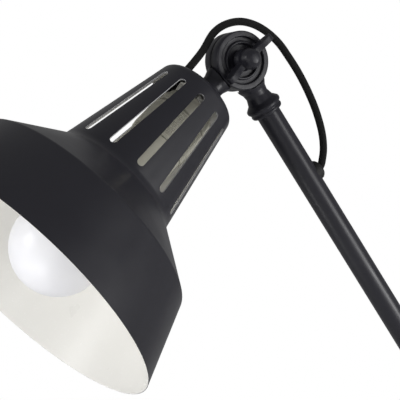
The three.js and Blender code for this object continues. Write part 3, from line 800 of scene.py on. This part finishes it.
def make_mains_flex():
    lead = smooth_path([*LEAD_ROUTE, *coil_turns()[2:], *TAIL_ROUTE], 2.2)
    flex = finish_piece(tube(lead, sides=16), "mains_flex", HERE, "braided_flex", "base",
                        ["mains_lead", "mains_coil", "mains_tail"])
    return flex, lead


make_head_loop()
make_elbow_loop()
make_base_loop()
mains_flex, mains_path = make_mains_flex()

# ---------------------------------------- knuckles

COLLAR_STEM = [
    (0, 8), (10.4, 8), (10.4, 15.2), (9.7, 19), (8.1, 22), (7.5, 25.5), (8.8, 30), (11.8, 33),
    (11.8, 34.6), (10.2, 36.4), (10.9, 37.4), (10.4, SOCKET_END), (0, SOCKET_END),
]
SHADE_STEM = [
    (0, 8), (10.2, 8), (10.2, 15.2), (9.2, 19), (8, 22.5), (7.8, 26), (8.6, 30), (12, 33.4),
    (12, SHADE_TOP - GAP), (STUD_R, SHADE_TOP - GAP), (STUD_R, 50), (0, 50),
]
FOOT_AT = BASE_PIVOT[1] - BASE_TOP_Z - GAP
STUD_END = BASE_PIVOT[1] - 5.5
FOOT_STEM = [
    (0, 8), (10.4, 8), (10.4, 15.2), (9.7, 19), (8, 23), (7.6, 27), (8.6, 31), (11.6, 34.6),
    (10.2, 38), (10.4, 42), (13, 47), (17.5, 50.5), (21, 51.6), (22, FOOT_AT - 1), (22, FOOT_AT),
    (STUD_R, FOOT_AT), (STUD_R, STUD_END), (0, STUD_END),
]


STEM_WIDENS = 18.5  # from the knuckle centre: as thick as the disc up to here
STEM_FREE = 24  # and its full width from here on
STEM_ROOM = 30


def both_sides(quarter):
    """A symmetric outline from the points of its +Y side, end to end."""
    return [*quarter, *[(x, -y) for x, y in reversed(quarter)]]


def stem_beside(outline, other_side):
    """The stem within the knuckle's thickness, clear of the other half's disc."""
    end = outline[-1][1] + 1
    edge = [(7, REAR_FACE), (STEM_WIDENS, REAR_FACE), (STEM_FREE, STEM_ROOM), (end, STEM_ROOM)]
    room = turned_by(slice_of(both_sides(edge), -STEM_ROOM, STEM_ROOM), -90, "Y")
    stem = common(turned(rounded(outline, 2.2, 4), 72), room)
    sweep = rod(KNUCKLE_R + 3 * GAP, 0, other_side * 14, 96, "Y")
    return cut(stem, moved(sweep, y=-other_side * GAP))


def front_casting(outline):
    """Thumb-nut half: a recessed face with a raised ring round the washer's seat."""
    disc = [(0, -GAP), (KNUCKLE_R, -GAP), (KNUCKLE_R, -FRONT_FACE), (0, -FRONT_FACE)]
    relief = [
        (0, -10), (16.4, -10), (15.1, -8.1), (15.1, -6.9), (12.3, -6.9), (12.3, -8.4),
        (10.8, -8.4), (10.8, -5.7), (0, -5.7),
    ]
    seat = [(0, -9), (BOLT_R + GAP, -9), (BOLT_R + GAP, -1.1), (15.3, -1.1), (15.3, 1), (0, 1)]
    solid = join(turned(rounded(disc, 0.8, 4), 120, "Y"), stem_beside(outline, 1))
    return cut(solid, turned(rounded(relief, 0.6, 4), 120, "Y"), turned(seat, 64, "Y"))


def rear_casting(outline):
    """Bolt-head half, with a shallow seat for the head."""
    disc = [(0, GAP), (KNUCKLE_R, GAP), (KNUCKLE_R, REAR_FACE), (0, REAR_FACE)]
    seat = [(0, -1), (BOLT_R + GAP, -1), (BOLT_R + GAP, 6.2), (9, 6.2), (9, 10), (0, 10)]
    solid = join(turned(rounded(disc, 0.8, 4), 120, "Y"), stem_beside(outline, -1))
    return cut(solid, turned(rounded(seat, 0.4), 64, "Y"))


def tube_socket():
    return rod(TUBE_R + GAP, SOCKET_FLOOR, SOCKET_END + 1)


UPSIDE_DOWN = Matrix.Rotation(math.pi, 4, "X")
OTHER_SIDE = Matrix.Scale(-1, 4, (0, 1, 0))
AT_TOP = Matrix.Translation((0, 0, ARM_LENGTH)) @ UPSIDE_DOWN @ OTHER_SIDE

WING_ANGLE = 45.5
WING_THICKNESS = 3.8


def bend(start, middle, end, steps=6):
    """Points after start on the curve that middle pulls towards itself."""
    a, b, c = Vector(start), Vector(middle), Vector(end)
    shares = [(i + 1) / steps for i in range(steps)]
    return [tuple(a * (1 - t) ** 2 + b * 2 * t * (1 - t) + c * t**2) for t in shares]


def wing_nut():
    """Thumb nut with a domed hub and two upswept wings, its axis along -Y."""
    hub = [
        (0, 24.6), (3.2, 23.8), (5.6, 21.7), (6.9, 17.7), (5.9, 13.2), (7.2, 9), (6.8, 7.5),
        (BOLT_R + 0.4, 7.5), (BOLT_R + 0.4, 14.4), (0, 14.4),
    ]
    nut = turned(rounded(hub, 1.4, 4), 64)
    outline = [(2.2, 9.2), (3.8, 9.2), (10, 10)]
    outline += bend((10, 10), (18, 11), (21, 14.5))
    outline += bend((21, 14.5), (23.2, 18.5), (19.6, 19.8))
    outline += bend((19.6, 19.8), (14.5, 20), (10, 17.6))
    outline += [(3.8, 16.8), (2.2, 16.8)]
    for side in (1, -1):
        half = WING_THICKNESS / 2
        wing = slice_of([(side * x, y) for x, y in outline], -half, half, soft=0.9)
        nut = join(nut, turned_by(wing, 90, "X"))
    return turned_by(nut, 90, "X")


def bolt():
    outline = [
        (0, -14), (BOLT_R, -14), (BOLT_R, 6.5), (6.4, 6.5), (6.4, 8.4), (4.6, 10.4), (0, 11.2),
    ]
    shank = turned(rounded(outline, 1.6, 4), 48, "Y")
    return cut(shank, block((14, 1.6, 1.4), (0, 11.2, 0)))


def make_knuckle(prefix, pivot, front_place, front_body, nut_body):
    """The bolt, washers and thumb nut that clamp one knuckle."""
    name = prefix.replace("_knuckle", "")
    finish_piece(bolt(), f"{name}_clamp_bolt", front_place, "blackened_steel", front_body,
                 [f"{prefix}_bolt"])
    friction = ring(BOLT_R + 0.6, 15, -0.8, 0, 72, "Y", soft=0.1)
    finish_piece(friction, f"{name}_fibre_disc", front_place, "fibre", front_body,
                 [f"{prefix}_friction_washer"])
    washer = ring(BOLT_R + GAP, 7.1, -7.2, -6, 64, "Y")
    finish_piece(washer, f"{name}_seat_washer", front_place, "blackened_steel", front_body,
                 [f"{prefix}_washer"])
    nut_place = Matrix.Translation((pivot[0], 0, pivot[1])) @ Matrix.Rotation(
        math.radians(-WING_ANGLE), 4, "Y")
    finish_piece(wing_nut(), f"{name}_thumb_nut", nut_place, "black_casting", nut_body,
                 [f"{prefix}_wing_nut"])


# ---------------------------------------- arms


def arm_bush(height):
    """Domed rubber bush that saddles the tube, with a rolled lip round its bore."""
    outline = [(0, 3), (6.8, 3), (6.8, 8.8), (5.8, 10.2), (4.4, 11), (0, 11)]
    dome = turned(rounded(outline, 0.8), 64, "X")
    dome = cut(dome, rod(TUBE_R + SNUG, -20, 20, 96))
    return moved(cut(dome, rod(BUSH_BORE_R, 0, 14, 40, "X")), z=height)


def make_arm(name, lower_knuckle, upper_knuckle, place, body):
    lower = cut(rear_casting(COLLAR_STEM), tube_socket())
    finish_piece(lower, f"{name}_foot_casting", place, "black_casting", body,
                 [f"{lower_knuckle}_upper_casting"])
    upper = cut(front_casting(COLLAR_STEM), tube_socket())
    finish_piece(upper, f"{name}_top_casting", place @ AT_TOP, "black_casting", body,
                 [f"{upper_knuckle}_lower_casting"])
    pipe = ring(TUBE_R - TUBE_WALL, TUBE_R, SOCKET_FLOOR + GAP, ARM_LENGTH - SOCKET_FLOOR - GAP, 96)
    finish_piece(pipe, f"{name}_pipe", place, "satin_black_paint", body, [f"{name}_tube"])
    for end, height in (("lower", ARM_BUSH), ("upper", ARM_LENGTH - ARM_BUSH)):
        finish_piece(arm_bush(height), f"{name}_{end}_grommet", place, "black_rubber", body,
                     [f"{name}_{end}_bush"])


# ---------------------------------------- shade and lampholder


def fillet(before, corner, after, radius, steps):
    """Points of a round of that radius between two straight stretches."""
    corner = Vector(corner)
    back = (Vector(before) - corner).normalized()
    on = (Vector(after) - corner).normalized()
    half = back.angle(on) / 2
    centre = corner + (back + on).normalized() * (radius / math.sin(half))
    start = corner + back * (radius / math.tan(half)) - centre
    end = corner + on * (radius / math.tan(half)) - centre
    sweep = math.atan2(start.x * end.y - start.y * end.x, start.dot(end))
    points = []
    for i in range(steps + 1):
        turn = sweep * i / steps
        x = start.x * math.cos(turn) - start.y * math.sin(turn)
        y = start.x * math.sin(turn) + start.y * math.cos(turn)
        points.append((centre.x + x, centre.y + y))
    return points


def shade_skin(inset):
    top_r = NECK_TOP_R - inset
    corners = [
        (0, SHADE_TOP + inset),
        (top_r, SHADE_TOP + inset),
        (NECK_END_R - inset, NECK_END),
        (SHOULDER_R - inset, SHOULDER_END + inset * 0.4),
        (RIM_R - inset, RIM),
    ]
    points = [corners[0]]
    for i, radius in enumerate((5.5 - inset, 11 + inset, 3.2 - inset)):
        points += fillet(corners[i], corners[i + 1], corners[i + 2], radius, 10)
    return [*points, corners[-1]]


CUTTER_INNER = 15  # the cutter's reach from the shade's axis
CUTTER_OUTER = 60
# Index of the slot walls' finish, whose light grey holds a painted highlight along the slot edges.
PUNCHED_EDGE_AND_HIGHLIGHT = 2  # place of punched_edge_and_highlight in SHADE_FINISHES


def slot_cutter(degrees):
    half = SLOT_WIDTH / 2
    outline = []
    for centre, first in ((SLOT_END - half, 0), (SLOT_START + half, 180)):
        for i in range(13):
            turn = math.radians(first + 15 * i)
            outline.append((half * math.cos(turn), centre + half * math.sin(turn)))
    cutter = slice_of(outline, CUTTER_INNER, CUTTER_OUTER)
    cutter.data.polygons.foreach_set("material_index", [PUNCHED_EDGE_AND_HIGHLIGHT] * len(cutter.data.polygons))
    return turned_by(turned_by(cutter, 90, "X"), degrees, "Z")


def with_finishes(thing, names):
    for each in names:
        thing.data.materials.append(FINISHES[each])
    return thing


SHADE_FINISHES = ("satin_black_paint", "white_enamel", "punched_edge_and_highlight")


def make_shade():
    outside = shade_skin(0)
    inside = shade_skin(SHADE_WALL)[::-1]
    lip = [(RIM_R - 0.3, RIM + 0.15), (RIM_R - 0.7, RIM + 0.15)]
    marks = [0] * len(outside) + [1] * (len(inside) + 1)
    shell = turned([*outside, *lip, *inside], 192, marks=marks)
    with_finishes(shell, SHADE_FINISHES)
    slots = [slot_cutter(SLOT_PHASE + 360 / SLOT_COUNT * i) for i in range(SLOT_COUNT)]
    slots = [with_finishes(each, SHADE_FINISHES) for each in slots]
    shell = moved(cut(shell, *slots), x=SHADE_OFFSET)
    shell = cut(shell, rod(STUD_R + 0.4, 30, 40), moved(rod(4.1, 30, 40), x=BUSH_X))
    marks = [polygon.material_index for polygon in shell.data.polygons]
    finish_piece(shell, "bell_shade", HEAD, SHADE_FINISHES, "head", ["shade"])
    shell.data.polygons.foreach_set("material_index", marks)


def panel_bush(z, wall):
    """Grooved rubber bush held in a thin wall between z and z + wall."""
    low = z - SNUG
    high = z + wall + SNUG
    top = z + wall + 1.8
    outline = [
        (BUSH_BORE_R, z - 3), (3.8, z - 3), (4.9, z - 1.6), (4.9, low), (3.8, low),
        (3.8, high), (4.9, high), (4.6, top), (BUSH_BORE_R, top),
    ]
    return turned(rounded(outline, 0.5), 48)


def hex_nut(across_flats, bore, start, end):
    corner = across_flats / math.sqrt(3)
    outline = [(0, start), (corner - 0.8, start), (corner, start + 0.5), (corner, end - 0.5),
               (corner - 0.8, end), (0, end)]
    return cut(turned(outline, 6), rod(bore, start - 1, end + 1, 40))


THREAD_R = 20
THREAD_START = 58.5
THREAD_END = 78.5
THREAD_PITCH = 1.3
THREAD_DEPTH = 0.25


def make_lampholder():
    cap = [(STUD_R + GAP, 43.6), (12, 43.6), (15.5, 45), (18, 48.5), (19.3, 54), (19.7, 58)]
    thread = []
    root = THREAD_R - THREAD_DEPTH
    for i in range(int((THREAD_END - THREAD_START) / THREAD_PITCH)):
        low = THREAD_START + i * THREAD_PITCH
        thread += [(root, low), (THREAD_R, low + 0.3), (THREAD_R, low + 0.7), (root, low + 1)]
    inner = [(19.7, 79.5), (18.3, 79.5), (18.3, 58), (17.4, 52), (15, 47.5), (STUD_R + GAP, 47.5)]
    finish_piece(turned([*rounded(cap, 1.5), *thread, *inner], 96), "lampholder_top", HEAD,
                 "grey_phenolic", "head", ["lampholder_cap"])
    skirt = [(19, 79.8), (19, 110.5), (18, 112), (15.6, 112), (15.6, 68), (18, 68), (18, 79.8)]
    finish_piece(turned(rounded(skirt, 0.6), 96), "lampholder_skirt", HEAD, "grey_phenolic",
                 "head", ["lampholder_body"])


def bulb_outline():
    """Round bulb: a ball on a flared neck."""
    ball_r = 30
    ball_at = 170.5
    neck = [(0, 111.3), (14, 111.3), (14.2, 113), (15.2, 118), (17.6, 128), (21.4, 139)]
    ball = []
    for i in range(24):
        angle = math.radians(-40 + i * 130 / 24)
        ball.append((ball_r * math.cos(angle), ball_at + ball_r * math.sin(angle)))
    return [*neck, *ball, (0, ball_at + ball_r)]


def make_head():
    finish_piece(rear_casting(SHADE_STEM), "shade_casting", HEAD, "black_casting", "head",
                 ["head_upper_casting"])
    make_shade()
    finish_piece(moved(panel_bush(SHADE_TOP, SHADE_WALL), x=BUSH_X), "shade_grommet", HEAD,
                 "black_rubber", "head", ["shade_flex_bush"])
    inside = SHADE_TOP + SHADE_WALL
    finish_piece(ring(STUD_R + GAP, 9.5, inside + GAP, inside + 1.5, 64), "shade_seat_washer", HEAD,
                 "zinc_plated_steel", "head", ["shade_washer"])
    finish_piece(hex_nut(14, STUD_R + GAP, inside + 1.8, inside + 6.3), "shade_lock_nut", HEAD,
                 "zinc_plated_steel", "head", ["shade_nut"])
    make_lampholder()
    finish_piece(turned(bulb_outline(), 96), "bulb_globe", HEAD, "frosted_glass", "head",
                 ["bulb_glass"])


# ---------------------------------------- base


def make_base():
    outside = [
        (0, BASE_TOP_Z), (63.5, BASE_TOP_Z), (66.4, 20.2), (69, 17.6), (88, 16), (93.4, 14.4),
        (BASE_R, 11), (BASE_R, 2.4),
    ]
    inside = [
        (BASE_R - COVER_WALL, 2.4), (BASE_R - COVER_WALL, 10.8), (92, 13.2), (87.6, 14.5),
        (68.2, 16.1), (63, BASE_TOP_Z - COVER_WALL), (0, BASE_TOP_Z - COVER_WALL),
    ]
    cover = turned(rounded([*outside, *inside], 2, 5), 160)
    holes = [
        rod(STUD_R + GAP, 15, 30),
        moved(rod(4.1, 15, 30), x=BASE_BUSH_X),
        moved(rod(3.9, 80, 110, 48, "X"), z=LEAD_EXIT_Z),
    ]
    finish_piece(cut(cover, *holes), "base_dish", HERE, "satin_black_paint", "base", ["base_cover"])
    pad = rounded([(0, 0), (BASE_R - 3, 0), (BASE_R - 3, 2.1), (0, 2.1)], 0.6)
    finish_piece(turned(pad, 160), "felt_foot", HERE, "felt", "base", ["base_pad"])
    finish_piece(ring(14, BASE_R - COVER_WALL - GAP, 2.4, 3.7, 160), "bottom_plate", HERE,
                 "zinc_plated_steel", "base", ["base_plate"])
    finish_piece(front_casting(FOOT_STEM), "pedestal_casting", FOOT, "black_casting", "base",
                 ["base_stem_casting"])
    bush = turned_by(panel_bush(-BASE_TOP_Z, COVER_WALL), 180, "X")
    finish_piece(moved(bush, x=BASE_BUSH_X), "base_grommet", HERE, "black_rubber", "base",
                 ["base_flex_bush"])


# ---------------------------------------- what is on the mains flex


RIB_COUNT = 6
RIB_START = 99.5
RIB_PITCH = 3.6
RIB_R = 5.2
RIB_TAPER = 0.24  # less radius at each rib


def strain_relief():
    """Tapered rubber sleeve with ribs that let it bend."""
    outline = [
        (BUSH_BORE_R, 86), (4.4, 86), (4.4, 91.6), (3.6, 91.6), (3.6, 95.6), (5.4, 95.6), (5.4, 98),
    ]
    for i in range(RIB_COUNT):
        start = RIB_START + RIB_PITCH * i
        radius = RIB_R - RIB_TAPER * i
        outline += [(radius, start), (radius - 0.1, start + 2), (radius - 0.8, start + 2.4),
                    (radius - 0.85, start + 3.2)]
    outline += [(3.6, 122), (3.5, 124), (BUSH_BORE_R, 124)]
    return moved(turned(rounded(outline, 0.4), 48, "X"), z=LEAD_EXIT_Z)


def make_switch():
    half = SWITCH_LENGTH / 2
    wide = SWITCH_HALF_WIDTH
    end = [(half, 5), (half - 1.5, 7.5), (half - 12, wide - 1), (half - 16, wide)]
    outline = both_sides([*end, *[(-x, y) for x, y in reversed(end)]])
    parts = []
    for name, node, low, high in (
        ("switch_lid", "switch_top", SWITCH_SPLIT + GAP / 2, SWITCH_TOP),
        ("switch_tray", "switch_bottom", 0.1, SWITCH_SPLIT - GAP / 2),
    ):
        shell = slice_of(outline, low, high, soft=0.9, steps=4)
        channel = moved(rod(BUSH_BORE_R, -half - 5, half + 5, 40, "X"), z=SWITCH_SPLIT)
        tools = [channel]
        if high == SWITCH_TOP:
            tools.append(block((16, 10.8, 12), (0, 0, 17.5), soft=0.4))
        parts.append(finish_piece(cut(shell, *tools), name, SWITCH, "black_plastic", "base", [node]))
    profile = [(-7, 2.8), (-4, 2), (0, 1.6), (4, 2), (7, 2.8), (7, 0.5), (4, -3), (-4, -3), (-7, 0.5)]
    rocker = turned_by(slice_of(profile, -5, 5, soft=0.5), 90, "X")
    ridges = [moved(rod(0.4, -3.4, 3.4, 16, "Y"), x=x, z=2.35) for x in (-5.2, -4, 4, 5.2)]
    rocker = join(rocker, *ridges)
    place = SWITCH @ Matrix.Translation((0, 0, ROCKER_PIVOT_Z)) @ Matrix.Rotation(
        math.radians(ROCKER_TILT), 4, "Y")
    parts.append(finish_piece(rocker, "switch_key_top", place, "black_plastic", "switch_key",
                              ["switch_rocker"]))
    return parts


def make_tie():
    inner = COIL_WIDTH + 3 * GAP
    low = COIL_LOW - GAP
    high = COIL_HIGH + GAP
    middle = (low + high) / 2
    outside = (TIE_WIDTH, inner + 2 * TIE_WALL, high - low + 2 * TIE_WALL)
    band = block(outside, (0, -COIL_R, middle), soft=0.45)
    hollow = block((TIE_WIDTH + 2, inner, high - low), (0, -COIL_R, middle))
    return finish_piece(cut(band, hollow), "flex_tie", COIL, "black_rubber", "base", ["coil_tie"])


def make_plug():
    side = [(0, 4.6), (6, 6.2), (13, 15.4), (17, 17.6), (34, 17.6), (36, 16)]
    low = PLUG_MIDDLE - PLUG_THICKNESS / 2
    high = PLUG_MIDDLE + PLUG_THICKNESS / 2
    body = slice_of(both_sides(side), low, high, soft=1.6, steps=4)
    grips = []
    for i in range(5):
        for y in (-17.6, 17.6):
            grips.append(block((1.3, 1.6, 9), (20 + 2.8 * i, y, PLUG_MIDDLE)))
    sockets = [
        moved(rod(2.3, 28, 40, 32, "X"), y=way * PIN_SPACING / 2, z=PLUG_MIDDLE) for way in (1, -1)
    ]
    bore = moved(rod(BUSH_BORE_R, -8, 8, 32, "X"), z=PLUG_MIDDLE)
    body = cut(body, *grips, *sockets, bore)
    parts = [finish_piece(body, "plug_shell", PLUG, "black_plastic", "base", ["plug_body"])]
    for word, way in (("left", 1), ("right", -1)):
        outline = rounded([(0, 28.3), (2, 28.3), (2, 55), (0, 55)], 1.2, 4)
        pin = moved(turned(outline, 40, "X"), y=way * PIN_SPACING / 2, z=PLUG_MIDDLE)
        node = f"plug_pin_{word}"
        parts.append(finish_piece(pin, f"plug_{word}_prong", PLUG, "brass", "base", [node]))
    return parts


# ---------------------------------------- assembly

make_head()
make_arm("lower_arm", "base_knuckle", "elbow", LOWER_ARM, "lower_arm")
make_arm("upper_arm", "elbow", "head", UPPER_ARM, "upper_arm")
make_base()
make_knuckle("base_knuckle", BASE_PIVOT, FOOT, "base", "base_knuckle_nut")
make_knuckle("elbow", ELBOW_PIVOT, LOWER_ARM, "lower_arm", "elbow_nut")
make_knuckle("head", HEAD_PIVOT, UPPER_ARM, "upper_arm", "head_nut")

relief = finish_piece(strain_relief(), "lead_sleeve", HERE, "black_rubber", "base",
                      ["mains_strain_relief"])
on_flex = [relief, *make_switch(), make_tie(), *make_plug()]

CARRIED_OVER = {
    "lower_arm_inner_flex": "braided_flex",
    "upper_arm_inner_flex": "braided_flex",
    "base_inner_flex": "braided_flex",
    "base_weight": "cast_iron",
    "base_washer": "zinc_plated_steel",
    "base_nut": "zinc_plated_steel",
    "lampholder_insulator": "ceramic",
    "lampholder_screw_shell": "brass",
    "bulb_cap": "nickel_bulb_cap",
}
for node, finish in CARRIED_OVER.items():
    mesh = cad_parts[node].data
    mesh.materials.clear()
    mesh.materials.append(FINISHES[finish])

# ---------------------------------------- floor and light

FLOOR_R = 2600
FLOOR_GLOW = 0.78  # keeps the table pale to the eye where the lights don't reach it


def make_floor():
    f = Finish("pale_floor")
    tone = f.mix(f.noise(400), (0.8, 0.8, 0.8, 1), (0.84, 0.84, 0.84, 1))
    seen = f.make("ShaderNodeLightPath").outputs["Is Camera Ray"]
    f.set(Base_Color=tone, Roughness=0.8, Emission_Color=tone)
    f.set(Emission_Strength=f.maths("MULTIPLY", seen, FLOOR_GLOW))
    floor = rod(FLOOR_R, -10, 0, 128)
    floor.name = "floor"
    floor.data.transform(Matrix.Scale(MM, 4))
    floor.data.materials.append(f.material)


SURROUND = 0.3


def make_world():
    """White to the camera, and a dimmer surround for what reflects it."""
    world = bpy.data.worlds.new("studio")
    bpy.context.scene.world = world
    world.use_nodes = True
    nodes = world.node_tree.nodes
    links = world.node_tree.links
    backdrop = nodes["Background"]
    backdrop.inputs["Color"].default_value = (1, 1, 1, 1)
    backdrop.inputs["Strength"].default_value = 1.0
    surround = nodes.new("ShaderNodeBackground")
    surround.inputs["Color"].default_value = (1, 1, 1, 1)
    surround.inputs["Strength"].default_value = SURROUND
    rays = nodes.new("ShaderNodeLightPath")
    choose = nodes.new("ShaderNodeMixShader")
    links.new(rays.outputs["Is Camera Ray"], choose.inputs[0])
    links.new(surround.outputs[0], choose.inputs[1])
    links.new(backdrop.outputs[0], choose.inputs[2])
    links.new(choose.outputs[0], nodes["World Output"].inputs["Surface"])


LIGHT_TARGET = Vector((-0.09, 0, 0.58))


def softbox(name, direction, distance, width, height, power):
    """A flat light facing the head of the lamp, from a direction."""
    data = bpy.data.lights.new(name, "AREA")
    data.shape = "RECTANGLE"
    data.size = width
    data.size_y = height
    data.energy = power
    light = bpy.data.objects.new(name, data)
    bpy.context.scene.collection.objects.link(light)
    aim = Vector(direction).normalized()
    light.location = LIGHT_TARGET + aim * distance
    light.visible_camera = False
    light.rotation_mode = "QUATERNION"
    light.rotation_quaternion = aim.to_track_quat("Z", "Y")


make_floor()
make_world()
softbox("front_right", (0.47, -0.88, 0.05), 1.7, 0.5, 1.3, 10)
softbox("side_right", (0.66, -0.71, -0.12), 1.8, 0.4, 0.4, 12)
softbox("side_left", (-0.95, 0.1, 0.22), 1.5, 0.35, 0.35, 8)
softbox("into_the_bell", (-0.75, -0.6, -0.28), 1.6, 0.9, 0.9, 5)
softbox("up_the_neck", (-0.72, -0.12, -0.69), 0.75, 0.25, 0.25, 1.5)
bpy.context.scene.view_settings.view_transform = "Standard"
